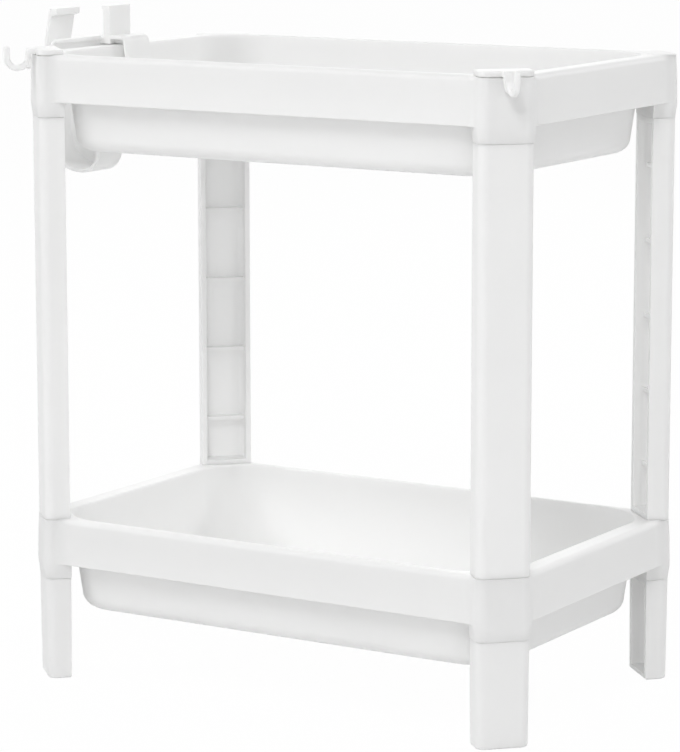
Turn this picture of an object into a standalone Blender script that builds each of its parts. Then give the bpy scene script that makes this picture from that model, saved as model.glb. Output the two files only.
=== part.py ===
"""Two-tier bathroom tray rack in white moulded plastic, with hook caps and a clip-on holder.

Metres, +Z up, X along the long sides, the front at -Y.  The origin lies on the floor, under the
middle of the box round the whole rack, its hooks and its holder.
"""

import math

import bmesh
import bpy
from mathutils import Matrix, Vector

# Overall outline, measured over the flare of the corner columns
overall_width = 0.360
overall_depth = 0.230

# Heights that stack up: foot, column, post, column, then the rim stands proud of its seat
foot_height = 0.0657
column_height = 0.0383
post_height = 0.2567
seat_drop = 0.0010

# Fits between the mouldings
seat_gap = 0.0004
plug_fit = 0.0003
recess_clearance = 0.0003
slide_clearance = 0.0004
overrun = 0.010

# Post section: a channel lying across the tray's corner, open to the middle of the tray
section_chord = 0.0338
section_thickness = 0.0158
section_corner_radius = 0.0060
section_wall = 0.0022
section_lip = 0.0034
end_plate_thickness = 0.0040
rib_thickness = 0.0024
rib_setback = 0.0060
cell_lap = 0.0006
rib_place_shares = (0.125, 0.3125, 0.5, 0.6875, 0.875)
section_corner_steps = 4

# Tenons and plugs that go into the columns
tenon_shoulder = 0.0018
tenon_setback = 0.0018
tenon_length = 0.0140
tenon_wall = 0.0020
plug_length = 0.0120

# Foot
foot_web_thickness = 0.0018
foot_base_thickness = 0.0030
foot_taper = 0.0005
foot_edge_radius = 0.0015

# Corner column of a tray
column_flare = 0.0012
column_belly = 0.0009
column_belly_height = 0.0150
column_end_proud = 0.0002
column_back_wall = 0.0002
gusset_thickness = 0.0020
gusset_drop = 0.0030

# Apron and rim of a tray
apron_setback_front = 0.0045
apron_setback_side = 0.0025
apron_height = 0.0300
apron_draft = 0.0006
apron_wall = 0.0020
apron_corner_radius = 0.0340
rim_width_front = 0.0065
rim_width_side = 0.0135
rim_outer_radius = 0.0040
rim_inner_radius = 0.0015
rim_steps = 4

# Basin of a tray
basin_depth = 0.0615
basin_wall = 0.0020
basin_floor = 0.0020
basin_draft_share = 0.15
basin_corner_radius = 0.0360
basin_bottom_radius = 0.0100
basin_bottom_steps = 3
plan_corner_steps = 6

# Caps on the upper tray's columns
cap_thickness = 0.0042
cap_edge_radius = 0.0012
back_cap_thickness = 0.0013
back_cap_edge_radius = 0.0008
cap_edge_steps = 3
cap_inset = 0.0002

# Hook on a front cap
hook_leg_width = 0.0087
hook_leg_foot_width = 0.0072
hook_leg_shoulder = 0.0050
hook_leg_thickness = 0.0024
hook_leg_offset = 0.0041
hook_bridge_thickness = 0.0026
hook_shoulder_radius = 0.0026
hook_root_width = 0.0062
hook_rod_width = 0.0038
hook_rod_thickness = 0.0040
hook_rod_edge = 0.0009
hook_bend_radius = 0.0067
hook_drop = 0.0144
hook_tip_rise = 0.0015
hook_leg_corner_steps = 6
hook_bend_steps = 8

# Holder that hangs over the left rim: a plate outside the apron, a lip and an arch over the rim
holder_back = 0.0050
arch_width = 0.0260
strap_width = 0.0226
holder_plate_thickness = 0.0023
holder_plate_gap = 0.0008
holder_plate_length = 0.0780
holder_plate_drop = 0.0260
holder_plate_corner_radius = 0.0050
holder_bar_rise = 0.0056
holder_bar_reach = 0.0014
holder_bar_thickness = 0.0026
holder_arch_rise = 0.0034
holder_arch_thickness = 0.0026
holder_arch_radius = 0.0050
holder_arch_bend_steps = 5
holder_flange_gap = 0.0032
holder_flange_thickness = 0.0022
holder_flange_drop = 0.0130
cradle_span = 0.0430
cradle_thickness = 0.0025
cradle_outer_radius = 0.0270
cradle_inner_radius = 0.0140
cradle_depth = 0.0843
cradle_corner_steps = 7
cradle_back_thickness = 0.0018
cradle_back_drop = 0.0080
outer_finger_rise = 0.0218
outer_finger_lean = 0.0045
outer_lip_reach = 0.0032
outer_lip_height = 0.0055
inner_finger_thickness = 0.0038
inner_finger_setback = 0.0034
inner_finger_rise = 0.0250
inner_lip_reach = 0.0012
inner_lip_height = 0.0030

# Plastic
white = (0.86, 0.86, 0.855)
tray_roughness = 0.38
post_roughness = 0.45
cap_roughness = 0.40

# Heights worked out from the stack
lower_column_base = foot_height
lower_seat = lower_column_base + column_height
lower_rim = lower_seat + seat_drop
upper_column_base = lower_seat + post_height
upper_seat = upper_column_base + column_height
upper_rim = upper_seat + seat_drop

# Plan of the corner columns, from the outline inwards
half_diagonal = math.sqrt(0.5)
corner_reach = (
    (section_chord / 2 - section_corner_radius + section_thickness - section_corner_radius) * half_diagonal
    + section_corner_radius
)
chord_x = overall_width / 2 - column_flare - corner_reach
chord_y = overall_depth / 2 - column_flare - corner_reach

# Plan of the apron, at its foot
apron_half_x = overall_width / 2 - apron_setback_side
apron_half_y = overall_depth / 2 - apron_setback_front

# Plan of the basin's mouth
mouth_half_x = apron_half_x - apron_draft - rim_width_side
mouth_half_y = apron_half_y - apron_draft - rim_width_front

# The holder's plates, from the rim that carries them
plate_inner_x = -(apron_half_x + holder_plate_gap)
plate_outer_x = plate_inner_x - holder_plate_thickness
bar_inner_x = plate_inner_x + holder_bar_reach
strap_front = holder_back - arch_width
cradle_inner_x = plate_inner_x
cradle_outer_x = cradle_inner_x - cradle_span
cradle_floor_z = upper_rim - cradle_depth

# Corners: a name, its sign along X and its sign along Y
corners = (
    ("front_left", -1, -1),
    ("front_right", 1, -1),
    ("back_left", -1, 1),
    ("back_right", 1, 1),
)

# Reach of the hooks past the columns, which sets where the middle of the box falls
hook_leg_face = section_thickness + hook_leg_offset
hook_tip_face = hook_leg_face + 2 * hook_bend_radius + (hook_rod_thickness - hook_leg_thickness) / 2
hook_reach_x = chord_x + (hook_tip_face + hook_rod_width / 2) * half_diagonal
hook_reach_y = chord_y + (hook_tip_face + hook_rod_width / 2) * half_diagonal
box_right = max(hook_reach_x, overall_width / 2)
box_front = max(hook_reach_y, overall_depth / 2)
origin_shift = Vector((-(cradle_outer_x + box_right) / 2, -(overall_depth / 2 - box_front) / 2, 0.0))


def clear_scene():
    """Empties the scene of its objects."""
    for thing in list(bpy.data.objects):
        bpy.data.objects.remove(thing, do_unlink=True)


def plastic(piece, roughness):
    """The white plastic of one piece."""
    material = bpy.data.materials.new(piece + "_plastic")
    material.use_nodes = True
    shader = material.node_tree.nodes["Principled BSDF"]
    shader.inputs["Base Color"].default_value = (*white, 1.0)
    shader.inputs["Roughness"].default_value = roughness
    shader.inputs["Metallic"].default_value = 0.0
    return material


def add_mesh(name, build):
    """Makes an object from what the build function draws into a new bmesh."""
    shape = bmesh.new()
    build(shape)
    bmesh.ops.recalc_face_normals(shape, faces=shape.faces)
    mesh = bpy.data.meshes.new(name)
    shape.to_mesh(mesh)
    shape.free()
    thing = bpy.data.objects.new(name, mesh)
    bpy.context.scene.collection.objects.link(thing)
    return thing


def loft(shape, loops):
    """Joins closed loops of points in turn, and fills the first and the last."""
    rings = []
    for points in loops:
        rings.append([shape.verts.new(point) for point in points])
    count = len(rings[0])
    for lower, upper in zip(rings, rings[1:]):
        for index in range(count):
            following = (index + 1) % count
            shape.faces.new((lower[index], lower[following], upper[following], upper[index]))
    shape.faces.new(list(reversed(rings[0])))
    shape.faces.new(rings[-1])


def box(shape, low, high):
    """A plain block between two corners."""
    loops = []
    for z in (low[2], high[2]):
        loops.append([
            (low[0], low[1], z),
            (high[0], low[1], z),
            (high[0], high[1], z),
            (low[0], high[1], z),
        ])
    loft(shape, loops)


def arc(centre, radius, start, end, steps):
    """Points along an arc, both ends included, angles in degrees."""
    points = []
    for step in range(steps + 1):
        angle = math.radians(start + (end - start) * step / steps)
        points.append((centre[0] + radius * math.cos(angle), centre[1] + radius * math.sin(angle)))
    return points


def channel_outline(chord, inner, outer, radius):
    """Outline of the post section: flat inner side, two rounded outer corners."""
    half = chord / 2
    outline = [(half, inner)]
    outline += arc((half - radius, outer - radius), radius, 0, 90, section_corner_steps)
    outline += arc((-half + radius, outer - radius), radius, 90, 180, section_corner_steps)
    outline.append((-half, inner))
    return outline


def grown_outline(growth, inner):
    """The post section grown outwards by the same amount all round its outer sides."""
    return channel_outline(
        section_chord + 2 * growth,
        inner,
        section_thickness + growth,
        section_corner_radius + growth,
    )


def tenon_outline(growth):
    """The section of a tenon or plug, or with a growth that of the socket round it."""
    return channel_outline(
        section_chord - 2 * tenon_shoulder + 2 * growth,
        tenon_setback - growth,
        section_thickness - tenon_shoulder + growth,
        section_corner_radius - tenon_shoulder + growth,
    )


def tenon_core_outline():
    """The hollow inside a tenon or plug."""
    return channel_outline(
        section_chord - 2 * tenon_shoulder - 2 * tenon_wall,
        tenon_setback + tenon_wall,
        section_thickness - tenon_shoulder - tenon_wall,
        section_corner_radius - tenon_shoulder - tenon_wall / 2,
    )


def prism(shape, outline, low, high):
    """A straight prism of a plan outline."""
    loft(shape, [[(u, v, z) for u, v in outline] for z in (low, high)])


def corner_matrix(sign_x, sign_y):
    """Carries the section's own frame, u across and v outwards, to a corner of the rack."""
    outwards = Vector((sign_x, sign_y, 0.0)).normalized()
    across = Vector((outwards.y, -outwards.x, 0.0))
    matrix = Matrix.Identity(4)
    matrix.col[0][:3] = across
    matrix.col[1][:3] = outwards
    matrix.col[2][:3] = (0.0, 0.0, 1.0)
    matrix.col[3][:3] = (sign_x * chord_x, sign_y * chord_y, 0.0)
    return matrix


def rounded_rectangle(half_x, half_y, radius, z):
    """A plan loop with rounded corners, anticlockwise from above."""
    points = []
    for sign_x, sign_y, start in ((1, 1, 0), (-1, 1, 90), (-1, -1, 180), (1, -1, 270)):
        centre = (sign_x * (half_x - radius), sign_y * (half_y - radius))
        points += arc(centre, radius, start, start + 90, plan_corner_steps)
    return [(x, y, z) for x, y in points]


def boolean(thing, cutter, operation):
    """Joins or cuts with another object, then drops that object."""
    modifier = thing.modifiers.new(operation.title(), "BOOLEAN")
    modifier.operation = operation
    modifier.solver = "EXACT"
    modifier.object = cutter
    bpy.context.view_layer.update()
    graph = bpy.context.evaluated_depsgraph_get()
    result = bpy.data.meshes.new_from_object(thing.evaluated_get(graph))
    thing.modifiers.clear()
    spent = thing.data
    thing.data = result
    bpy.data.meshes.remove(spent)
    bpy.data.objects.remove(cutter, do_unlink=True)


def finish(thing, name, material, matrix, parent):
    """Places a piece, names it and gives it its material and shading."""
    thing.name = name
    thing.data.name = name
    thing.data.transform(matrix)
    thing.data.materials.clear()
    thing.data.materials.append(material)
    thing.data.shade_smooth()
    thing.data.set_sharp_from_angle(angle=math.radians(35))
    thing.parent = parent


def axis_marker(name, location, parent):
    """An empty on a sliding piece's axis."""
    marker = bpy.data.objects.new(name, None)
    marker.empty_display_size = section_thickness
    marker.location = location
    marker.parent = parent
    bpy.context.scene.collection.objects.link(marker)
    return marker


def mouth_loop(inset, z):
    """A loop of the basin, set in from its mouth."""
    return rounded_rectangle(mouth_half_x - inset, mouth_half_y - inset, basin_corner_radius - inset, z)


def basin_wall_loops(outwards):
    """Loops of the basin's wall and bottom bend, from the mouth down, inner skin or outer skin."""
    depth = basin_depth if outwards else basin_depth - basin_floor
    shift = basin_wall if outwards else 0.0
    bend = basin_bottom_radius if outwards else basin_bottom_radius - basin_wall
    top = rim_inner_radius
    loops = []
    inset = basin_draft_share * top - shift
    loops.append((inset, -top))
    inset = basin_draft_share * (depth - bend) - shift
    for step in range(basin_bottom_steps + 1):
        angle = math.radians(90 * step / basin_bottom_steps)
        loops.append((inset + bend * (1 - math.cos(angle)), -(depth - bend) - bend * math.sin(angle)))
    return [mouth_loop(inset, z) for inset, z in loops]


def apron_loop(inset, z):
    """A loop of the apron, set in from its outer face at the foot."""
    return rounded_rectangle(apron_half_x - inset, apron_half_y - inset, apron_corner_radius - inset, z)


def tray_skin(shape):
    """The tray without its columns: floor, wall, rim, apron and back underneath, as one skin."""
    loops = list(reversed(basin_wall_loops(False)))
    inner = rim_inner_radius
    for step in range(1, rim_steps // 2 + 1):
        angle = math.radians(90 * step / (rim_steps // 2))
        inset = -inner * (1 - math.cos(angle))
        loops.append(mouth_loop(inset, -inner + inner * math.sin(angle)))
    outer = rim_outer_radius
    for step in range(rim_steps + 1):
        angle = math.radians(90 * step / rim_steps)
        inset = apron_draft + outer * (1 - math.sin(angle))
        loops.append(apron_loop(inset, -outer + outer * math.cos(angle)))
    loops.append(apron_loop(0.0, -apron_height))
    loops.append(apron_loop(apron_wall, -apron_height))
    bend = outer - apron_wall
    loops.append(apron_loop(apron_draft + apron_wall, -outer))
    loops.append(apron_loop(apron_draft + outer - bend * half_diagonal, -outer + bend * half_diagonal))
    loops.append(apron_loop(apron_draft + outer, -apron_wall))
    loops.append(mouth_loop(-basin_wall + basin_draft_share * apron_wall, -apron_wall))
    loops += basin_wall_loops(True)[1:]
    loft(shape, loops)


def column_body(shape):
    """A column standing in its own frame, flared down to the apron's foot and drawn in below it."""
    stages = (
        (column_end_proud, -seat_drop - column_height),
        (column_flare, -apron_height),
        (column_belly, -column_belly_height),
        (column_end_proud, -seat_drop / 2),
    )
    loft(shape, [[(u, v, z) for u, v in grown_outline(growth, -column_back_wall)] for growth, z in stages])


def column_gusset(shape):
    """The web that ties a column to the basin's corner, its far edge in the middle of the basin's wall."""
    middle_x = chord_x - mouth_half_x + basin_corner_radius
    middle_y = chord_y - mouth_half_y + basin_corner_radius
    reach = (middle_x + middle_y) * half_diagonal - basin_corner_radius - basin_wall / 2
    half = gusset_thickness / 2
    loops = []
    for z in (-seat_drop - column_height + gusset_drop, -apron_wall / 2):
        edge = -reach + basin_draft_share * z
        loops.append([
            (-half, edge, z),
            (half, edge, z),
            (half, tenon_setback / 2, z),
            (-half, tenon_setback / 2, z),
        ])
    loft(shape, loops)


def seat_recess(shape):
    """The shallow recess that a post or a cap sits in."""
    prism(shape, grown_outline(recess_clearance, -recess_clearance), -seat_drop, overrun)


def column_socket(shape):
    """The socket right through a column, round its tenon or plug."""
    prism(shape, tenon_outline(plug_fit), -basin_depth, overrun)


def make_tray(name, rim_z, material, parent):
    """One tray moulding: skin, four columns, their sockets and their seats."""
    tray = add_mesh(name, tray_skin)
    for corner, sign_x, sign_y in corners:
        matrix = corner_matrix(sign_x, sign_y)
        for build, operation in (
            (column_body, "UNION"),
            (column_gusset, "UNION"),
            (seat_recess, "DIFFERENCE"),
            (column_socket, "DIFFERENCE"),
        ):
            tool = add_mesh(corner, build)
            tool.data.transform(matrix)
            boolean(tray, tool, operation)
    finish(tray, name, material, Matrix.Translation((0.0, 0.0, rim_z)), parent)
    return tray


def hollow_tenon(thing, base, end):
    """Adds a hollow tenon that stands on a shoulder at base and opens at end."""
    rise = 1 if end > base else -1
    boolean(thing, add_mesh("tenon", lambda shape: prism(
        shape, tenon_outline(0.0), *sorted((base - rise * end_plate_thickness / 2, end)))), "UNION")
    boolean(thing, add_mesh("core", lambda shape: prism(
        shape, tenon_core_outline(), *sorted((base, end + rise * overrun)))), "DIFFERENCE")


def open_channel(thing, low, high, depth):
    """Cuts the open side of a channel between two heights, down to a depth from the open face."""
    half = section_chord / 2 - section_lip
    boolean(thing, add_mesh("channel", lambda shape: box(
        shape, (-half, -overrun, low), (half, depth, high))), "DIFFERENCE")


def cell_outline(half_low, half_high):
    """The hollow behind the open side, between two places across the chord."""
    outer = section_thickness - section_wall
    radius = section_corner_radius - section_wall
    half = section_chord / 2 - section_wall
    outline = [(half_high, rib_setback - cell_lap)]
    if half_high == half:
        outline += arc((half - radius, outer - radius), radius, 0, 90, section_corner_steps)
    else:
        outline.append((half_high, outer))
    if half_low == -half:
        outline += arc((-half + radius, outer - radius), radius, 90, 180, section_corner_steps)
    else:
        outline.append((half_low, outer))
    outline.append((half_low, rib_setback - cell_lap))
    return outline


def post_body(shape):
    """The solid section that the channel is cut from."""
    prism(shape, grown_outline(0.0, 0.0), lower_seat + seat_gap, upper_column_base - seat_gap)


def make_post(name, sign_x, sign_y, material, parent):
    """A post: channel, cross ribs and a tenon at each end."""
    post = add_mesh(name, post_body)
    base = lower_seat + seat_gap
    top = upper_column_base - seat_gap
    low = base + end_plate_thickness
    high = top - end_plate_thickness
    open_channel(post, low, high, rib_setback)
    half = section_chord / 2 - section_wall
    edges = [low]
    for share in rib_place_shares:
        middle = base + share * (top - base)
        edges += [middle - rib_thickness / 2, middle + rib_thickness / 2]
    edges.append(high)

    def cells(shape):
        for start, stop in zip(edges[::2], edges[1::2]):
            prism(shape, cell_outline(-half, half), start, stop)

    boolean(post, add_mesh("cells", cells), "DIFFERENCE")
    hollow_tenon(post, base, base - tenon_length)
    hollow_tenon(post, top, top + tenon_length)
    finish(post, name, material, corner_matrix(sign_x, sign_y), parent)
    return post


def foot_body(shape):
    """The solid section of a foot, drawn in a little towards the floor and rounded off there."""
    stages = (
        (-foot_taper - foot_edge_radius * (1 - half_diagonal), foot_edge_radius * (1 - half_diagonal)),
        (-foot_taper, foot_edge_radius),
        (0.0, lower_column_base - seat_gap),
    )
    bottom = [(u, v, 0.0) for u, v in grown_outline(-foot_taper - foot_edge_radius, 0.0)]
    loft(shape, [bottom] + [[(u, v, z) for u, v in grown_outline(growth, 0.0)] for growth, z in stages])


def make_foot(name, sign_x, sign_y, material, parent):
    """A foot: short channel with a web down its middle, closed below, tenon above."""
    foot = add_mesh(name, foot_body)
    top = lower_column_base - seat_gap
    low = foot_base_thickness
    high = top - end_plate_thickness
    open_channel(foot, low, high, rib_setback)
    half = section_chord / 2 - section_wall
    web = foot_web_thickness / 2

    def cells(shape):
        prism(shape, cell_outline(-half, -web), low, high)
        prism(shape, cell_outline(web, half), low, high)

    boolean(foot, add_mesh("cells", cells), "DIFFERENCE")
    hollow_tenon(foot, top, top + tenon_length)
    finish(foot, name, material, corner_matrix(sign_x, sign_y), parent)
    return foot


def cap_plate(shape, thickness, radius):
    """The plate of a cap, its top edge rounded."""
    base = upper_seat + seat_gap
    stages = [(-cap_inset, base)]
    for inwards, z in arc((radius, base + thickness - radius), radius, 180, 90, cap_edge_steps):
        stages.append((-cap_inset - inwards, z))
    loft(shape, [[(u, v, z) for u, v in grown_outline(growth, -growth)] for growth, z in stages])


def hook_leg(shape):
    """The tongue that runs over the column's edge and down its face, narrowing to a round foot."""
    top = upper_seat + seat_gap + cap_thickness
    base = top - hook_drop
    outer = hook_leg_face + hook_leg_thickness / 2
    inner = outer - hook_leg_thickness
    half = hook_leg_width / 2
    foot = hook_leg_foot_width / 2
    flat = top - hook_shoulder_radius - cap_inset
    shoulder = top - hook_leg_shoulder
    outline = [(half, flat), (half, shoulder)]
    outline += arc((0.0, base + foot), foot, 0, -180, 2 * hook_leg_corner_steps)
    outline += [(-half, shoulder), (-half, flat)]
    loft(shape, [[(u, v, z) for u, z in outline] for v in (inner, outer)])


def hook_bridge(shape):
    """The arm from the cap's plate out over the column's edge, its shoulder rounded into the leg."""
    top = upper_seat + seat_gap + cap_thickness - cap_inset
    half = hook_leg_width / 2 - cap_inset
    outer = hook_leg_face + hook_leg_thickness / 2 - cap_inset
    inner = outer - hook_leg_thickness + 2 * cap_inset
    foot = top - hook_leg_shoulder
    radius = hook_shoulder_radius
    outline = [(section_thickness - section_wall, top)]
    outline += arc((outer - radius, top - radius), radius, 90, 0, hook_leg_corner_steps)
    outline += [(outer, foot), (inner, foot), (inner, top - hook_bridge_thickness)]
    outline.append((section_thickness - section_wall, top - hook_bridge_thickness))
    loft(shape, [[(u, v, z) for v, z in outline] for u in (-half, half)])


def hook_rod(shape):
    """The rod that bends out from the leg's foot and up to the tip, narrowing as it goes."""
    top = upper_seat + seat_gap + cap_thickness
    centre_v = hook_leg_face + hook_bend_radius
    centre_z = top - hook_drop + hook_bend_radius + hook_rod_thickness / 2
    path = [(v, z, angle) for (v, z), angle in zip(
        arc((centre_v, centre_z), hook_bend_radius, 180, 360, hook_bend_steps),
        [180 + 180 * step / hook_bend_steps for step in range(hook_bend_steps + 1)])]
    path.append((centre_v + hook_bend_radius, top + hook_tip_rise, 360))
    depth = hook_rod_thickness / 2
    loops = []
    for v, z, angle in path:
        left_over = 2 - angle / 180
        half = (hook_rod_width + (hook_root_width - hook_rod_width) * left_over ** 2) / 2
        section = (
            (-half, -depth + hook_rod_edge),
            (-half + hook_rod_edge, -depth),
            (half - hook_rod_edge, -depth),
            (half, -depth + hook_rod_edge),
            (half, depth - hook_rod_edge),
            (half - hook_rod_edge, depth),
            (-half + hook_rod_edge, depth),
            (-half, depth - hook_rod_edge),
        )
        out_v = math.cos(math.radians(angle))
        out_z = math.sin(math.radians(angle))
        loops.append([(u, v + out_v * out, z + out_z * out) for u, out in section])
    loft(shape, loops)


def make_cap(name, sign_x, sign_y, hooked, material, parent):
    """A cap that plugs into a column of the upper tray, with or without a hook."""
    thickness = cap_thickness if hooked else back_cap_thickness
    radius = cap_edge_radius if hooked else back_cap_edge_radius
    cap = add_mesh(name, lambda shape: cap_plate(shape, thickness, radius))
    base = upper_seat + seat_gap
    boolean(cap, add_mesh("plug", lambda shape: prism(
        shape, tenon_outline(0.0), base - plug_length, base + thickness / 2)), "UNION")
    boolean(cap, add_mesh("core", lambda shape: prism(
        shape, tenon_core_outline(), base - plug_length - overrun, base)), "DIFFERENCE")
    if hooked:
        for build in (hook_bridge, hook_leg, hook_rod):
            boolean(cap, add_mesh("hook", build), "UNION")
    marker = axis_marker(name + "_axis", (sign_x * chord_x, sign_y * chord_y, upper_seat), parent)
    matrix = Matrix.Translation(-marker.location) @ corner_matrix(sign_x, sign_y)
    finish(cap, name, material, matrix, marker)
    return cap


def plate_shape(shape):
    """The long outer plate with rounded corners, standing a little above the rim."""
    low = upper_rim - holder_plate_drop
    high = upper_rim + holder_bar_rise
    radius = holder_plate_corner_radius
    outline = []
    for y, z, start in (
        (holder_back - radius, high - radius, 0),
        (holder_back - holder_plate_length + radius, high - radius, 90),
        (holder_back - holder_plate_length + radius, low + radius, 180),
        (holder_back - radius, low + radius, 270),
    ):
        outline += arc((y, z), radius, start, start + 90, section_corner_steps)
    loft(shape, [[(x, y, z) for y, z in outline] for x in (plate_outer_x, plate_inner_x)])


def bar_shape(shape):
    """The lip along the plate's top, turned in over the rim, with the plate's rounded end in front."""
    radius = holder_plate_corner_radius
    high = upper_rim + holder_bar_rise
    base = high - holder_bar_thickness
    front = holder_back - holder_plate_length
    outline = [(holder_back, base), (holder_back, high)]
    outline += arc((front + radius, high - radius), radius, 90, 135, section_corner_steps // 2)
    outline.append((front + radius * (1 - half_diagonal) + holder_bar_thickness, base))
    lap = holder_plate_thickness / 2
    loft(shape, [[(x, y, z) for y, z in outline] for x in (plate_inner_x - lap, bar_inner_x)])


def arch_shape(shape):
    """The arch from the bar over the rim, and the flange that goes down inside the tray."""
    under = upper_rim + holder_arch_rise
    top = under + holder_arch_thickness
    flange_outer = -mouth_half_x + holder_flange_gap
    flange_inner = flange_outer + holder_flange_thickness
    foot_z = upper_rim - holder_flange_drop
    lean = basin_draft_share * (holder_flange_drop + holder_arch_rise)
    bend = holder_arch_radius
    outline = [
        (bar_inner_x - holder_bar_reach / 2, top),
        (bar_inner_x - holder_bar_reach / 2, under),
        (flange_outer, under),
        (flange_outer + lean, foot_z),
        (flange_inner + lean, foot_z),
    ]
    outline += arc((flange_inner - bend, top - bend), bend, 0, 90, holder_arch_bend_steps)
    loft(shape, [[(x, y, z) for x, z in outline] for y in (strap_front, holder_back)])


def inner_finger_shape(shape):
    """The finger that stands beside the bar, with its lip towards the outer one."""
    outer = plate_inner_x + inner_finger_setback
    inner = outer + inner_finger_thickness
    base = upper_rim + slide_clearance
    top = upper_rim + inner_finger_rise
    outline = [
        (inner, base),
        (inner, top),
        (outer - inner_lip_reach, top),
        (outer - inner_lip_reach, top - inner_lip_height / 2),
        (outer, top - inner_lip_height),
        (outer, base),
    ]
    loft(shape, [[(x, y, z) for x, z in outline] for y in (strap_front, strap_front + strap_width)])


def cradle_path():
    """Middle line of the strap: outer finger, outer wall, floor, inner wall, with its direction."""
    half = cradle_thickness / 2
    outer = cradle_outer_x + half
    inner = cradle_inner_x - half
    floor = cradle_floor_z + half
    outer_bend = cradle_outer_radius - half
    inner_bend = cradle_inner_radius - half
    finger_top = upper_rim + outer_finger_rise
    points = [(outer + outer_finger_lean, finger_top), (outer, upper_rim), (outer, floor + outer_bend)]
    points += arc((outer + outer_bend, floor + outer_bend), outer_bend, 180, 270, cradle_corner_steps)[1:]
    points += arc((inner - inner_bend, floor + inner_bend), inner_bend, 270, 360, cradle_corner_steps)
    points.append((inner, upper_rim - holder_plate_drop + 2 * holder_plate_corner_radius))
    return points


def strip(shape, points, thickness, low_y, high_y):
    """A flat strip along a path in the X-Z plane."""
    loops = []
    last = len(points) - 1
    for index, (x, z) in enumerate(points):
        before = points[max(index - 1, 0)]
        after = points[min(index + 1, last)]
        first = Vector((x - before[0], z - before[1]))
        second = Vector((after[0] - x, after[1] - z))
        directions = [step.normalized() for step in (first, second) if step.length > 0]
        along = sum(directions, Vector((0.0, 0.0))).normalized()
        stretch = 1 / max(along.dot(directions[0]), half_diagonal)
        side = Vector((-along.y, along.x)) * (thickness / 2 * stretch)
        loops.append([
            (x + side.x, low_y, z + side.y),
            (x + side.x, high_y, z + side.y),
            (x - side.x, high_y, z - side.y),
            (x - side.x, low_y, z - side.y),
        ])
    loft(shape, loops)


def cradle_shape(shape):
    """The strap: outer finger, walls and floor of the cradle."""
    strip(shape, cradle_path(), cradle_thickness, strap_front, strap_front + strap_width)


def cradle_back_shape(shape):
    """The wall that closes the back of the cradle."""
    top = upper_rim - cradle_back_drop
    bends = cradle_path()[2:-1]
    outline = [(bends[0][0], top)] + bends + [(bends[-1][0], top)]
    back = strap_front + strap_width - cap_inset
    loft(shape, [[(x, y, z) for x, z in outline] for y in (back - cradle_back_thickness, back)])


def outer_lip_shape(shape):
    """The lip at the head of the outer finger."""
    top = upper_rim + outer_finger_rise
    wall = cradle_outer_x + outer_finger_lean + cradle_thickness / 2
    tip = wall + cradle_thickness / 2 + outer_lip_reach
    outline = [
        (wall, top),
        (wall, top - outer_lip_height),
        (tip, top - outer_lip_height + outer_lip_reach / 2),
        (tip, top),
    ]
    ends = (strap_front + cap_inset, strap_front + strap_width - cap_inset)
    loft(shape, [[(x, y, z) for x, z in outline] for y in ends])


def make_holder(name, material, parent):
    """The clip-on holder: hanger, two lipped fingers and the open cradle below."""
    holder = add_mesh(name, plate_shape)
    shapes = (bar_shape, arch_shape, inner_finger_shape, cradle_shape, cradle_back_shape, outer_lip_shape)
    for build in shapes:
        boolean(holder, add_mesh("holder_tool", build), "UNION")
    marker = axis_marker(name + "_axis", (plate_outer_x, 0.0, upper_rim), parent)
    finish(holder, name, material, Matrix.Translation(-marker.location), marker)
    return holder


def build():
    """Makes every piece of the rack."""
    clear_scene()
    root = axis_marker("rack_frame", origin_shift, None)
    for name, rim_z in (("upper_tray", upper_rim), ("lower_tray", lower_rim)):
        make_tray(name, rim_z, plastic(name, tray_roughness), root)
    for corner, sign_x, sign_y in corners:
        post = "post_" + corner
        make_post(post, sign_x, sign_y, plastic(post, post_roughness), root)
        foot = "foot_" + corner
        make_foot(foot, sign_x, sign_y, plastic(foot, post_roughness), root)
        hooked = sign_y < 0
        cap = ("hook_cap_" if hooked else "corner_cap_") + corner
        make_cap(cap, sign_x, sign_y, hooked, plastic(cap, cap_roughness), root)
    make_holder("side_holder", plastic("side_holder", cap_roughness), root)


build()
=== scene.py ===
# White plastic two-tier tray rack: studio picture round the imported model, in metres, +Z up

import math

import bmesh
import bpy
from mathutils import Matrix, Vector


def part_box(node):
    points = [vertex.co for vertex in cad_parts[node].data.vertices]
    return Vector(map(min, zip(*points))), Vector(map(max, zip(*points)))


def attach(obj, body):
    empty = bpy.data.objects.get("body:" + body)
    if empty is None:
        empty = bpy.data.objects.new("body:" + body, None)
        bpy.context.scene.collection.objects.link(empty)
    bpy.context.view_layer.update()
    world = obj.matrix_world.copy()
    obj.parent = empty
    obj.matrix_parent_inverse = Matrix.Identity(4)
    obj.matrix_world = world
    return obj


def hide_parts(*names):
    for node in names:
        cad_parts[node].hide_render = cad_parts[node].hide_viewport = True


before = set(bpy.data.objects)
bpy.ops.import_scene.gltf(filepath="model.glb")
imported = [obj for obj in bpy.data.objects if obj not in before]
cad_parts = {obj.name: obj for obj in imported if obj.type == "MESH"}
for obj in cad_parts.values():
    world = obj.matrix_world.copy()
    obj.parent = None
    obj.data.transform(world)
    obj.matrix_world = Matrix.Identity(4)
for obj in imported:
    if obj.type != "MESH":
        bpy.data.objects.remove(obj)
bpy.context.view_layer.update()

print("frame loaded:", len(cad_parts), "pieces")


class Wire:
    # one socket, so that shader maths reads as a plain expression
    def __init__(self, recipe, socket):
        self.recipe = recipe
        self.socket = socket

    def mathNode(self, operation, first, second):
        return self.recipe.node("Math", {"operation": operation}, {0: first, 1: second})

    def __add__(self, other):
        return self.mathNode("ADD", self, other)

    def __sub__(self, other):
        return self.mathNode("SUBTRACT", self, other)

    def __rsub__(self, other):
        return self.mathNode("SUBTRACT", other, self)

    def __mul__(self, other):
        return self.mathNode("MULTIPLY", self, other)

    __radd__ = __add__
    __rmul__ = __mul__


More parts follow.
